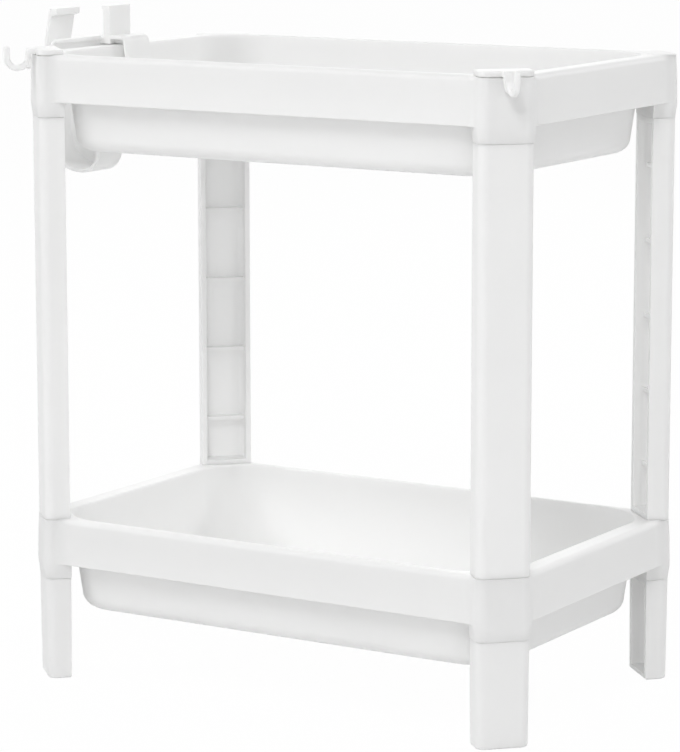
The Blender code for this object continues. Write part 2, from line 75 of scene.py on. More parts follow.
class Recipe:
    # a material's node tree, or the world's, filled one node at a time
    def __init__(self, tree):
        self.tree = tree
        tree.nodes.clear()

    def plug(self, socket, value):
        if isinstance(value, Wire):
            self.tree.links.new(value.socket, socket)
        else:
            socket.default_value = value

    def node(self, kind, settings=None, sockets=None, output=0):
        made = self.tree.nodes.new("ShaderNode" + kind)
        for name, value in (settings or {}).items():
            setattr(made, name, value)
        for name, value in (sockets or {}).items():
            self.plug(made.inputs[name], value)
        return Wire(self, made.outputs[output]) if made.outputs else None


def newMaterial(name):
    material = bpy.data.materials.new(name)
    material.use_nodes = True
    return material, Recipe(material.node_tree)


plasticKinds = {  # grain is the depth of the spark grain, in metres
    "tray_plastic": {
        "white": (0.895, 0.895, 0.89), "shade": (0.875, 0.876, 0.874), "roughness": 0.5, "grain": 0.00002},
    "post_plastic": {
        "white": (0.891, 0.891, 0.887), "shade": (0.871, 0.872, 0.871), "roughness": 0.5, "grain": 0.00003},
    "cap_plastic": {
        "white": (0.895, 0.895, 0.89), "shade": (0.875, 0.876, 0.875), "roughness": 0.46, "grain": 0.000015},
    "holder_plastic": {
        "white": (0.895, 0.895, 0.89), "shade": (0.875, 0.877, 0.876), "roughness": 0.44, "grain": 0.000015},
}
plasticDetail = {  # what all four kinds share
    "clouds": {"Scale": 14.0, "Detail": 3.0, "Roughness": 0.55},
    "waves": {"Scale": 26.0, "Detail": 1.0, "Roughness": 0.4},
    "grain": {"Scale": 1500.0, "Detail": 2.0, "Roughness": 0.6},
    "marks": {"Scale": 6.0, "Detail": 4.0, "Roughness": 0.7},
    "markStretch": (9.0, 60.0, 240.0), "markRange": {"From Min": 0.62, "From Max": 0.78},
    "cloudRoughness": 0.06, "markRoughness": 0.05, "grainRoughness": 0.03,
    "waveDepth": 0.0006, "waveStrength": 0.35, "grainStrength": 0.5,
    "body": {
        "IOR": 1.49, "Specular IOR Level": 0.3, "Subsurface Weight": 0.6,
        "Subsurface Radius": (1.0, 1.0, 1.0), "Subsurface Scale": 0.004},
}


def mouldedPlastic(name, kind):
    # smooth white polypropylene: faint flow clouds, soft waviness, fine spark grain and light handling marks
    detail = plasticDetail
    material, paint = newMaterial(name)
    place = paint.node("TexCoord", output="Object")
    clouds = paint.node("TexNoise", None, {"Vector": place, **detail["clouds"]})
    waves = paint.node("TexNoise", None, {"Vector": place, **detail["waves"]})
    grain = paint.node("TexNoise", None, {"Vector": place, **detail["grain"]})
    stretched = paint.node("Mapping", {"vector_type": "POINT"}, {
        "Vector": place, "Scale": detail["markStretch"]})
    marks = paint.node("TexNoise", None, {"Vector": stretched, **detail["marks"]})
    handled = paint.node("MapRange", {"interpolation_type": "SMOOTHSTEP"}, {
        "Value": marks, **detail["markRange"]})
    colour = paint.node("Mix", {"data_type": "RGBA"}, {
        "Factor": clouds, "A": (*kind["white"], 1.0), "B": (*kind["shade"], 1.0)}, output=2)
    roughness = (kind["roughness"] + clouds * detail["cloudRoughness"]
                 + handled * detail["markRoughness"] + grain * detail["grainRoughness"])
    soft = paint.node("Bump", None, {
        "Height": waves, "Strength": detail["waveStrength"], "Distance": detail["waveDepth"]})
    fine = paint.node("Bump", None, {
        "Height": grain, "Strength": detail["grainStrength"], "Distance": kind["grain"], "Normal": soft})
    shader = paint.node("BsdfPrincipled", None, {
        "Base Color": colour, "Roughness": roughness, "Normal": fine, **detail["body"]})
    paint.node("OutputMaterial", None, {"Surface": shader})
    return material


finishes = {name: mouldedPlastic(name + "_finish", kind) for name, kind in plasticKinds.items()}
print("finishes done")

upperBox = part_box("upper_tray")
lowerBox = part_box("lower_tray")
rimHeights = {"upper_tray": upperBox[1][2], "lower_tray": lowerBox[1][2]}
trayMiddle = ((upperBox[0][0] + upperBox[1][0]) / 2, (upperBox[0][1] + upperBox[1][1]) / 2)
rackWidth = upperBox[1][0] - upperBox[0][0]
rackDepth = upperBox[1][1] - upperBox[0][1]
corners = (("front_left", -1, -1), ("front_right", 1, -1), ("back_left", -1, 1), ("back_right", 1, 1))


def arcPoints(centre, radius, start, end, steps):
    turns = [math.radians(start + (end - start) * step / steps) for step in range(steps + 1)]
    return [(centre[0] + radius * math.cos(turn), centre[1] + radius * math.sin(turn)) for turn in turns]


def roundOver(edge, steps):
    # a rounded edge as pairs: how far in from the side, how far down from the top
    return [(edge - across, edge - up) for across, up in arcPoints((0, 0), edge, 90, 0, steps)]


def loft(shape, rings):
    # closed rings of points joined in turn, the first and the last filled
    made = [[shape.verts.new(point) for point in ring] for ring in rings]
    count = len(made[0])
    for lower, upper in zip(made, made[1:]):
        for here in range(count):
            after = (here + 1) % count
            shape.faces.new((lower[here], lower[after], upper[after], upper[here]))
    shape.faces.new(list(reversed(made[0])))
    shape.faces.new(made[-1])


def shrunk(outline, distance):
    # a closed outline moved inwards, its corners mitred
    moved = []
    for here, point in enumerate(outline):
        before = Vector(point) - Vector(outline[here - 1])
        after = Vector(outline[(here + 1) % len(outline)]) - Vector(point)
        sides = [Vector((-step.y, step.x)).normalized() for step in (before, after)]
        mitre = (sides[0] + sides[1]) / (1 + sides[0].dot(sides[1]))
        moved.append(tuple(Vector(point) + mitre * distance))
    return moved


def slab(shape, outline, low, high, edge, steps, place):
    # a plate of one outline, its edges rounded; place turns the outline's two values and a level into a point
    area = sum(a[0] * b[1] - b[0] * a[1] for a, b in zip(outline, outline[1:] + outline[:1]))
    outline = outline if area > 0 else outline[::-1]
    rounds = roundOver(edge, steps)
    levels = [(inwards, low + drop) for inwards, drop in rounds]
    levels += [(inwards, high - drop) for inwards, drop in reversed(rounds)]
    loft(shape, [[place(a, b, level) for a, b in shrunk(outline, inwards)] for inwards, level in levels])


def solid(name, *builds):
    # one object from the shapes that the builds draw
    shape = bmesh.new()
    for build in builds:
        build(shape)
    bmesh.ops.recalc_face_normals(shape, faces=shape.faces)
    mesh = bpy.data.meshes.new(name)
    shape.to_mesh(mesh)
    shape.free()
    thing = bpy.data.objects.new(name, mesh)
    bpy.context.scene.collection.objects.link(thing)
    return thing


def bake(thing):
    # puts a piece's modifiers into its mesh
    bpy.context.view_layer.update()
    graph = bpy.context.evaluated_depsgraph_get()
    result = bpy.data.meshes.new_from_object(thing.evaluated_get(graph))
    thing.modifiers.clear()
    thing.data = result


def combine(thing, tool, operation):
    step = thing.modifiers.new(operation.title(), "BOOLEAN")
    step.operation = operation
    step.solver = "EXACT"
    step.object = tool
    bake(thing)
    bpy.data.objects.remove(tool, do_unlink=True)


def smoothed(thing, angle):
    # soft shading that keeps flat faces flat
    thing.data.shade_smooth()
    thing.data.set_sharp_from_angle(angle=math.radians(angle))
    weigh = thing.modifiers.new("weigh", "WEIGHTED_NORMAL")
    weigh.mode = "FACE_AREA"
    weigh.keep_sharp = True
    bake(thing)


def cornerPlace(signX, signY):
    # from a corner's own frame, u across and v outwards, to the rack
    outwards = Vector((signX, signY, 0)).normalized()
    across = Vector((outwards.y, -outwards.x, 0))
    place = Matrix.Identity(4)
    place.col[0][:3] = across
    place.col[1][:3] = outwards
    place.col[3][:3] = (trayMiddle[0] + signX * chordPoint[0], trayMiddle[1] + signY * chordPoint[1], 0)
    return place


def putOn(mesh, name, body, node, finish, place=None):
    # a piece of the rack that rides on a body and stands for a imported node
    piece = bpy.data.objects.new(name, mesh.copy())
    piece.data.name = name
    bpy.context.scene.collection.objects.link(piece)
    if place is not None:
        piece.data.transform(place)
    piece.data.materials.clear()
    piece.data.materials.append(finishes[finish])
    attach(piece, body)
    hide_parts(node)


sectionSizes = {  # the post's section, which columns, feet and caps follow
    "chord": 0.0338, "thickness": 0.0158, "corner": 0.006, "wall": 0.0022, "lip": 0.0034,
    "tenonShoulder": 0.0018, "tenonSetback": 0.0018, "tenonWall": 0.002, "tenonLength": 0.014,
    "seatDrop": 0.001, "seam": 0.0001, "edge": 0.00024, "edgeSteps": 3, "cornerSteps": 10, "overrun": 0.01,
}


def channelPlan(chord, inner, outer, corner):
    half = chord / 2
    steps = sectionSizes["cornerSteps"]
    plan = [(half, inner)]
    plan += arcPoints((half - corner, outer - corner), corner, 0, 90, steps)
    plan += arcPoints((-half + corner, outer - corner), corner, 90, 180, steps)
    return plan + [(-half, inner)]


def grownPlan(growth, inner):
    size = sectionSizes
    return channelPlan(size["chord"] + 2 * growth, inner, size["thickness"] + growth, size["corner"] + growth)


def tenonPlan(growth):
    size = sectionSizes
    shoulder = size["tenonShoulder"] - growth
    return channelPlan(size["chord"] - 2 * shoulder, size["tenonSetback"] - growth,
                       size["thickness"] - shoulder, size["corner"] - shoulder)


def prism(shape, plan, low, high):
    loft(shape, [[(u, v, z) for u, v in plan] for z in (low, high)])


def hollowTenon(thing, base, end, rootDepth):
    # a hollow tenon or plug from a shoulder at base to its open end
    size = sectionSizes
    rise = 1 if end > base else -1
    root, mouth = base - rise * rootDepth, end + rise * size["overrun"]
    combine(thing, solid("tenon", lambda shape: prism(shape, tenonPlan(0), *sorted((root, end)))), "UNION")
    combine(thing, solid("core", lambda shape: prism(
        shape, tenonPlan(-size["tenonWall"]), *sorted((base, mouth)))), "DIFFERENCE")


columnSizes = {  # a corner column: its swell, its socket, and the web and fillets that tie it in
    "height": 0.0383, "flare": 0.0012, "belly": 0.0009, "bellyHeight": 0.015, "proud": 0.0002, "back": 0.0002,
    "recess": 0.0003, "socketFit": 0.0003, "webThickness": 0.002, "webDrop": 0.0105, "stageSteps": 5,
    "fillet": 0.013, "filletSteps": 12, "filletLap": 0.00003, "filletRoot": 0.001,
}
traySizes = {  # apron, rim and basin; pairs are for width and depth
    "apronSetback": (0.0025, 0.0045), "apronHeight": 0.03, "apronDraft": 0.0006, "apronWall": 0.002,
    "apronCorner": 0.034, "apronEdge": 0.0008, "rimWidth": (0.0135, 0.0065), "rimOuter": 0.004,
    "rimInner": 0.0015, "basinDepth": 0.0615, "wall": 0.002, "draftShare": 0.15, "basinCorner": 0.036,
    "basinBend": 0.01, "planSteps": 16, "rimSteps": 8, "bendSteps": 10, "edgeSteps": 4, "smoothAngle": 30,
}
halfDiagonal = math.sqrt(0.5)
cornerReach = halfDiagonal * (
    sectionSizes["chord"] / 2 + sectionSizes["thickness"] - 2 * sectionSizes["corner"])
chordPoint = [extent / 2 - columnSizes["flare"] - cornerReach - sectionSizes["corner"]
              for extent in (rackWidth, rackDepth)]
apronHalf = [extent / 2 - setback
             for extent, setback in zip((rackWidth, rackDepth), traySizes["apronSetback"])]
mouthHalf = [half - traySizes["apronDraft"] - width for half, width in zip(apronHalf, traySizes["rimWidth"])]


def planRing(half, corner, inset, z):
    # a rounded rectangle set in from its full size
    ring = []
    for signX, signY, start in ((1, 1, 0), (-1, 1, 90), (-1, -1, 180), (1, -1, 270)):
        centre = (signX * (half[0] - corner), signY * (half[1] - corner))
        ring += arcPoints(centre, corner - inset, start, start + 90, traySizes["planSteps"])
    return [(x, y, z) for x, y in ring]


def apronProfile():
    # the apron's outer face as pairs of inset and height, from its foot up over the rim's round
    size = traySizes
    foot = [(inwards, -size["apronHeight"] + down)
            for inwards, down in roundOver(size["apronEdge"], size["edgeSteps"])]
    face = []
    for step in range(1, size["edgeSteps"] + 1):
        share = step / size["edgeSteps"]
        rise = size["apronHeight"] - size["apronEdge"] - size["rimOuter"]
        face.append((size["apronDraft"] * share, -size["apronHeight"] + size["apronEdge"] + rise * share))
    rim = [(size["apronDraft"] + inwards, -down)
           for inwards, down in reversed(roundOver(size["rimOuter"], size["rimSteps"]))]
    return foot + face + rim[1:]


def basinProfile(outer):
    # the basin's wall and bottom bend as pairs of inset from the mouth and height, from the top down
    size = traySizes
    shift = size["wall"] if outer else 0
    depth = size["basinDepth"] - size["wall"] + shift
    bend = size["basinBend"] - size["wall"] + shift
    bottom = size["draftShare"] * (depth - bend) - shift
    profile = [(size["draftShare"] * size["rimInner"] - shift, -size["rimInner"])]
    for inwards, down in reversed(roundOver(bend, size["bendSteps"])):
        profile.append((bottom + inwards, -depth + down))
    return profile


def traySkin(shape):
    # floor, wall, rim and apron as one skin of even thickness
    size = traySizes
    rings = [(mouthHalf, size["basinCorner"], inset, z) for inset, z in reversed(basinProfile(False))]
    for inwards, down in reversed(roundOver(size["rimInner"], size["edgeSteps"])):
        rings.append((mouthHalf, size["basinCorner"], -inwards, -down))
    outer = [(apronHalf, size["apronCorner"], inset, z) for inset, z in reversed(apronProfile())]
    rings += outer
    wall = size["apronWall"]
    for inwards, down in roundOver(size["apronEdge"], size["edgeSteps"]):
        rings.append((apronHalf, size["apronCorner"], wall - inwards, -size["apronHeight"] + down))
    for inwards, down in reversed(roundOver(size["rimOuter"] - wall, size["rimSteps"])):
        rings.append((apronHalf, size["apronCorner"], size["apronDraft"] + wall + inwards, -wall - down))
    top = -size["wall"] + size["draftShare"] * wall
    rings.append((mouthHalf, size["basinCorner"], top, -wall))
    rings += [(mouthHalf, size["basinCorner"], inset, z) for inset, z in basinProfile(True)[1:]]
    loft(shape, [planRing(*ring) for ring in rings])


def columnStages():
    # how far the column stands out of the section, and at what height, from its foot up
    size, edge = columnSizes, sectionSizes["edge"]
    base = -sectionSizes["seatDrop"] - size["height"]
    stops = ((size["proud"], base + edge), (size["flare"], -traySizes["apronHeight"]),
             (size["belly"], -size["bellyHeight"]), (size["proud"], -sectionSizes["seatDrop"] - edge))
    stages = []
    for (growth, z), (nextGrowth, nextZ) in zip(stops, stops[1:]):
        for step in range(size["stageSteps"]):
            share = step / size["stageSteps"]
            eased = share * share * (3 - 2 * share)
            stages.append((growth + (nextGrowth - growth) * eased, z + (nextZ - z) * share))
    return stages + [stops[-1]]


def columnGrowth(z):
    stages = columnStages()
    for (growth, low), (nextGrowth, high) in zip(stages, stages[1:]):
        if low <= z <= high:
            return growth + (nextGrowth - growth) * (z - low) / (high - low)
    return columnSizes["proud"]


def columnBody(shape):
    stages = columnStages()
    rounds = roundOver(sectionSizes["edge"], sectionSizes["edgeSteps"])
    first, last = stages[0], stages[-1]
    foot = [(first[0] - inwards, first[1] - sectionSizes["edge"] + down) for inwards, down in rounds]
    head = [(last[0] - inwards, last[1] + sectionSizes["edge"] - down) for inwards, down in reversed(rounds)]
    levels = foot[:-1] + stages + head[1:]
    loft(shape, [[(u, v, z) for u, v in grownPlan(growth, -columnSizes["back"])] for growth, z in levels])


def filletRing(centre, side, inset, growth, z):
    # plan of the fillet between the apron's corner and one side of a column; centre is the apron corner's own
    size = columnSizes
    half = sectionSizes["chord"] / 2
    middle = Vector((side * centre.x, centre.y))
    shoulder = Vector((half - sectionSizes["corner"], sectionSizes["thickness"] - sectionSizes["corner"]))
    apron = traySizes["apronCorner"] - inset - size["filletLap"]
    rounded = sectionSizes["corner"] + growth - size["filletLap"]
    far = apron + size["fillet"]
    across = shoulder.x + rounded + size["fillet"]
    hub = Vector((across, middle.y + math.sqrt(far ** 2 - (across - middle.x) ** 2)))
    end = 180
    if hub.y > shoulder.y:  # the fillet runs onto the column's round
        near = rounded + size["fillet"]
        span = shoulder - middle
        along = (far ** 2 - near ** 2 + span.length_squared) / (2 * span.length)
        out = math.sqrt(far ** 2 - along ** 2)
        unit = span.normalized()
        hub = middle + unit * along + Vector((unit.y, -unit.x)) * out
        end = math.degrees(math.atan2(shoulder.y - hub.y, shoulder.x - hub.x)) % 360
    start = math.degrees(math.atan2(middle.y - hub.y, middle.x - hub.x)) % 360
    ring = arcPoints(hub, size["fillet"], start, end, size["filletSteps"])
    root = half - 2 * size["filletRoot"]
    inner = apron - size["filletRoot"]
    ring.append((root, ring[-1][1]))
    ring.append((root, middle.y + math.sqrt(inner ** 2 - (root - middle.x) ** 2)))
    ring.append(tuple(middle + (hub - middle).normalized() * inner))
    return [(side * u, v, z) for u, v in ring]


def columnWeb(shape):
    # the web under the rim that ties a column to the basin's corner
    size = columnSizes
    inwards = [chordPoint[axis] - mouthHalf[axis] + traySizes["basinCorner"] for axis in (0, 1)]
    reach = sum(inwards) * halfDiagonal - traySizes["basinCorner"] - traySizes["wall"] / 2
    half, near = size["webThickness"] / 2, sectionSizes["tenonSetback"] / 2
    rings = []
    for z in (-sectionSizes["seatDrop"] - size["height"] + size["webDrop"], -traySizes["apronWall"] / 2):
        edge = -reach + traySizes["draftShare"] * z
        rings.append([(-half, edge, z), (half, edge, z), (half, near, z), (-half, near, z)])
    loft(shape, rings)


def trayMesh():
    # one tray moulding, its rim at height zero
    tray = solid("tray", traySkin)
    recesses, sockets, posts = [], [], []
    for _, signX, signY in corners:
        place = Matrix.Translation((-trayMiddle[0], -trayMiddle[1], 0)) @ cornerPlace(signX, signY)
        centre = place.inverted() @ Vector((signX * (apronHalf[0] - traySizes["apronCorner"]),
                                            signY * (apronHalf[1] - traySizes["apronCorner"]), 0))
        column = solid("column", columnBody)
        combine(column, solid("web", columnWeb), "UNION")
        for side in (-1, 1):
            rings = [filletRing(centre, side, inset, columnGrowth(z), z - columnSizes["filletLap"])
                     for inset, z in apronProfile()]
            combine(column, solid("fillet", lambda shape: loft(shape, rings)), "UNION")
        recess = solid("recess", lambda shape: prism(
            shape, grownPlan(columnSizes["recess"], -columnSizes["recess"]),
            -sectionSizes["seatDrop"], sectionSizes["overrun"]))
        socket = solid("socket", lambda shape: prism(
            shape, tenonPlan(columnSizes["socketFit"]), -traySizes["basinDepth"], sectionSizes["overrun"]))
        for tool, kept in ((column, posts), (recess, recesses), (socket, sockets)):
            tool.data.transform(place)
            kept.append(tool)
    for kept, operation in ((posts, "UNION"), (recesses, "DIFFERENCE"), (sockets, "DIFFERENCE")):
        for tool in kept:
            combine(tray, tool, operation)
    smoothed(tray, traySizes["smoothAngle"])
    return tray


postSizes = {  # posts and feet; the ribs stand at shares of the post's height
    "endBlock": 0.004, "rib": 0.0024, "ribSetback": 0.006, "cellLap": 0.0006, "mouthEdge": 0.0005,
    "ribShares": (0.125, 0.3125, 0.5, 0.6875, 0.875), "smoothAngle": 40,
    "footWeb": 0.0018, "footBase": 0.003, "footTaper": 0.0005, "footEdge": 0.0015, "footSteps": 6,
}
seats = {node: rim - sectionSizes["seatDrop"] for node, rim in rimHeights.items()}


def cellPlan(low, high):
    # the hollow behind the open side, between two places across the post
    size = sectionSizes
    outer, corner = size["thickness"] - size["wall"], size["corner"] - size["wall"]
    half = size["chord"] / 2 - size["wall"]
    near = postSizes["ribSetback"] - postSizes["cellLap"]
    plan = [(high, near)]
    if high == half:
        plan += arcPoints((half - corner, outer - corner), corner, 0, 90, size["cornerSteps"])
    else:
        plan.append((high, outer))
    if low == -half:
        plan += arcPoints((corner - half, outer - corner), corner, 90, 180, size["cornerSteps"])
    else:
        plan.append((low, outer))
    return plan + [(low, near)]


def mouthCut(shape, low, high):
    # the open side of a channel, its edges eased
    half, edge = sectionSizes["chord"] / 2 - sectionSizes["lip"], postSizes["mouthEdge"]
    levels = [(edge, -sectionSizes["overrun"])] + roundOver(edge, sectionSizes["edgeSteps"])
    levels.append((0, postSizes["ribSetback"]))
    loft(shape, [[(-half - wider, v, low - wider), (half + wider, v, low - wider),
                  (half + wider, v, high + wider), (-half - wider, v, high + wider)] for wider, v in levels])


def roundedPost(shape, low, high, footEdge=None):
    # the solid section, its two ends eased; a foot tapers a little and is rounded more below
    ends = roundOver(sectionSizes["edge"], sectionSizes["edgeSteps"])
    levels = [(-inwards, low + down) for inwards, down in ends]
    if footEdge:
        levels = [(-postSizes["footTaper"] - inwards, low + down)
                  for inwards, down in roundOver(footEdge, postSizes["footSteps"])]
    levels += [(-inwards, high - down) for inwards, down in reversed(ends)]
    loft(shape, [[(u, v, z) for u, v in grownPlan(growth, -growth)] for growth, z in levels])


def postMesh():
    # a channel with cross ribs and a hollow tenon at each end
    size = postSizes
    seam = sectionSizes["seam"]
    base = seats["lower_tray"] + seam
    top = seats["upper_tray"] - columnSizes["height"] - seam
    low, high = base + size["endBlock"], top - size["endBlock"]
    half = sectionSizes["chord"] / 2 - sectionSizes["wall"]
    edges = [low]
    for share in size["ribShares"]:
        middle = base + share * (top - base)
        edges += [middle - size["rib"] / 2, middle + size["rib"] / 2]
    edges.append(high)
    post = solid("post", lambda shape: roundedPost(shape, base, top))
    combine(post, solid("mouth", lambda shape: mouthCut(shape, low, high)), "DIFFERENCE")
    cells = [lambda shape, ends=ends: prism(shape, cellPlan(-half, half), *ends)
             for ends in zip(edges[::2], edges[1::2])]
    combine(post, solid("cells", *cells), "DIFFERENCE")
    hollowTenon(post, base, base - sectionSizes["tenonLength"], size["rib"])
    hollowTenon(post, top, top + sectionSizes["tenonLength"], size["rib"])
    smoothed(post, size["smoothAngle"])
    return post


def footMesh():
    # a short channel with a web down its middle, closed and rounded below
    size = postSizes
    top = seats["lower_tray"] - columnSizes["height"] - sectionSizes["seam"]
    low, high = size["footBase"], top - size["endBlock"]
    half, web = sectionSizes["chord"] / 2 - sectionSizes["wall"], size["footWeb"] / 2
    foot = solid("foot", lambda shape: roundedPost(shape, 0, top, size["footEdge"]))
    combine(foot, solid("mouth", lambda shape: mouthCut(shape, low, high)), "DIFFERENCE")
    cells = [lambda shape, ends=ends: prism(shape, cellPlan(*ends), low, high)
             for ends in ((-half, -web), (web, half))]
    combine(foot, solid("cells", *cells), "DIFFERENCE")
    hollowTenon(foot, top, top + sectionSizes["tenonLength"], size["rib"])
    smoothed(foot, size["smoothAngle"])
    return foot


capSizes = {  # the hooked caps in front and the plain ones behind
    "hooked": {"thickness": 0.0042, "edge": 0.001, "dome": 0.0003, "seam": 0.00045, "inset": 0.0001},
    "plain": {"thickness": 0.0013, "edge": 0.0006, "dome": 0.0001, "seam": 0.00002, "inset": -0.00018},
    "plugLength": 0.012, "edgeSteps": 6, "domeReach": 0.0052, "domeSteps": 5, "smoothAngle": 35,
}
hookSizes = {  # arm, leg and rod of a hook, measured from the cap's top
    "legWidth": 0.0087, "legFoot": 0.0072, "legShoulder": 0.005, "legThickness": 0.0024, "legOffset": 0.0041,
    "legDrop": 0.0134, "armDepth": 0.0038, "armRound": 0.0026, "rootWidth": 0.0062, "rodWidth": 0.0038,
    "rodThickness": 0.004, "bend": 0.0067, "drop": 0.0144, "tipRise": 0.0015, "edge": 0.0005, "edgeSteps": 3,
    "roundSteps": 10, "bendSteps": 28, "ringPoints": 20, "squareness": 0.62, "tipSteps": 5,
}


def capPlate(shape, kind):
    # the plate of a cap, its edge rounded and its top slightly domed
    size = capSizes
    base = seats["upper_tray"] + kind["seam"]
    top = seats["upper_tray"] + kind["thickness"]
    levels = [(-kind["inset"], base)]
    for inwards, down in reversed(roundOver(kind["edge"], size["edgeSteps"])):
        levels.append((-kind["inset"] - inwards, top - kind["dome"] - down))
    for step in range(1, size["domeSteps"] + 1):
        share = step / size["domeSteps"]
        inwards = kind["edge"] + (size["domeReach"] - kind["edge"]) * share
        levels.append((-kind["inset"] - inwards, top - kind["dome"] * (1 - share) ** 2))
    loft(shape, [[(u, v, z) for u, v in grownPlan(growth, -growth)] for growth, z in levels])


def hookLeg(shape, top):
    # the tongue down the column's face, narrowing to a round foot
    size = hookSizes
    face = sectionSizes["thickness"] + size["legOffset"]
    half, foot = size["legWidth"] / 2, size["legFoot"] / 2
    shoulder = top - size["legShoulder"]
    outline = [(half, top - size["armRound"]), (half, shoulder)]
    outline += arcPoints((0, top - size["legDrop"] + foot), foot, 0, -180, size["roundSteps"])
    outline += [(-half, shoulder), (-half, top - size["armRound"])]
    slab(shape, outline, face - size["legThickness"] / 2, face + size["legThickness"] / 2,
         size["edge"], size["edgeSteps"], lambda u, z, v: (u, v, z))


def hookArm(shape, top):
    # the arm from the cap over the column's edge, its shoulder rounded into the leg
    size = hookSizes
    half = size["legWidth"] / 2
    outer = sectionSizes["thickness"] + size["legOffset"] + size["legThickness"] / 2
    inner = outer - size["legThickness"]
    root = sectionSizes["thickness"] - sectionSizes["wall"]
    foot = top - size["legShoulder"]
    shoulder = (outer - size["armRound"], top - size["armRound"])
    outline = [(root, top)] + arcPoints(shoulder, size["armRound"], 90, 0, size["roundSteps"])
    outline += [(outer, foot), (inner, foot), (inner, top - size["armDepth"]), (root, top - size["armDepth"])]
    slab(shape, outline, -half, half, size["edge"], size["edgeSteps"], lambda v, z, u: (u, v, z))


def squared(share):
    # pushes a round section towards a square one
    return math.copysign(abs(share) ** hookSizes["squareness"], share)


def hookRod(shape, top):
    # the rod that bends out from the leg's foot and up to a rounded tip, narrowing as it goes
    size = hookSizes
    depth = size["rodThickness"] / 2
    centre = (sectionSizes["thickness"] + size["legOffset"] + size["bend"],
              top - size["drop"] + size["bend"] + depth)
    bend = arcPoints(centre, size["bend"], 180, 360, size["bendSteps"])
    path = [(v, z, 180 + 180 * step / size["bendSteps"], 1.0) for step, (v, z) in enumerate(bend)]
    tip = top + size["tipRise"] - depth
    path.append((centre[0] + size["bend"], (centre[1] + tip) / 2, 360, 1.0))
    for rise, fullness in arcPoints((0, 0), 1, 90, 0, size["tipSteps"])[:-1]:
        path.append((centre[0] + size["bend"], tip + rise * depth, 360, fullness))
    rings = []
    for v, z, turn, fullness in path:
        half = (size["rodWidth"] + (size["rootWidth"] - size["rodWidth"]) * (2 - turn / 180) ** 2) / 2
        outV, outZ = math.cos(math.radians(turn)), math.sin(math.radians(turn))
        ring = []
        for point in range(size["ringPoints"]):
            angle = 2 * math.pi * point / size["ringPoints"]
            u = squared(math.cos(angle)) * half * fullness
            out = squared(math.sin(angle)) * depth * fullness
            ring.append((u, v + outV * out, z + outZ * out))
        rings.append(ring)
    loft(shape, rings)


def capMesh(hooked):
    # a cap with its hollow plug, with or without a hook
    kind = capSizes["hooked" if hooked else "plain"]
    base = seats["upper_tray"] + kind["seam"]
    top = seats["upper_tray"] + kind["thickness"]
    cap = solid("cap", lambda shape: capPlate(shape, kind))
    hollowTenon(cap, base, base - capSizes["plugLength"], kind["edge"] / 2)
    if hooked:
        for build in (hookArm, hookLeg, hookRod):
            combine(cap, solid("hook", lambda shape: build(shape, top)), "UNION")
    smoothed(cap, capSizes["smoothAngle"])
    return cap


holderSizes = {  # plate, arch, flange, fingers and cradle, measured from the rim
    "back": 0.005, "archWidth": 0.0277, "strapWidth": 0.0233, "cradleWidth": 0.0262, "cradleLead": 0.0016,
    "archRib": 0.0024, "archRibSetback": 0.006, "footLap": 0.0008, "plate": 0.0023, "plateGap": 0.0008,
    "plateLength": 0.078, "plateDrop": 0.026, "plateRound": 0.005,
    "lipRise": 0.0056, "lipReach": 0.0014, "lipThickness": 0.0026,
    "archRise": 0.0034, "archThickness": 0.0026, "archRound": 0.005,
    "flangeGap": 0.0032, "flange": 0.0022, "flangeDrop": 0.013,
    "span": 0.043, "strap": 0.0025, "outerRound": 0.027, "innerRound": 0.014, "depth": 0.0843,
    "backWall": 0.0018, "backDrop": 0.008,
    "fingerRise": 0.0218, "fingerLean": 0.0045, "fingerLip": 0.0032, "fingerLipHeight": 0.0055,
    "innerFinger": 0.0052, "innerSetback": 0.0034, "innerRise": 0.025, "innerLip": 0.0012,
    "innerLipHeight": 0.003, "clearance": 0.0004, "inset": 0.0002, "edge": 0.0006,
    "edgeSteps": 3, "roundSteps": 12, "smoothAngle": 35,
}


def holderLines():
    # faces and levels that the holder's parts share, in the rack's own frame
    size = holderSizes
    rim = rimHeights["upper_tray"]
    inner = trayMiddle[0] - apronHalf[0] - size["plateGap"]
    back = trayMiddle[1] + size["back"]
    strapLow = back - size["archWidth"]
    cradleLow = strapLow - size["cradleLead"]
    under = rim + size["archRise"]
    fingerOuter = inner + size["innerSetback"]
    return {
        "rim": rim, "inner": inner, "outer": inner - size["plate"], "middle": inner - size["plate"] / 2,
        "back": back, "front": back - size["plateLength"],
        "high": rim + size["lipRise"], "low": rim - size["plateDrop"], "lipInner": inner + size["lipReach"],
        "strapLow": strapLow, "strapHigh": strapLow + size["strapWidth"],
        "cradleLow": cradleLow, "cradleHigh": cradleLow + size["cradleWidth"],
        "under": under, "top": under + size["archThickness"], "seat": rim + size["clearance"],
        "fingerOuter": fingerOuter, "fingerInner": fingerOuter + size["innerFinger"],
    }


def acrossPlate(y, z, x):
    return x, y, z


def alongRim(x, z, y):
    return x, y, z


def holderSlab(outline, low, high, edge, place):
    # a builder of one part of the holder
    return lambda shape: slab(shape, outline, low, high, edge, holderSizes["edgeSteps"], place)


def boxOutline(near, far, low, high):
    return [(near, low), (far, low), (far, high), (near, high)]


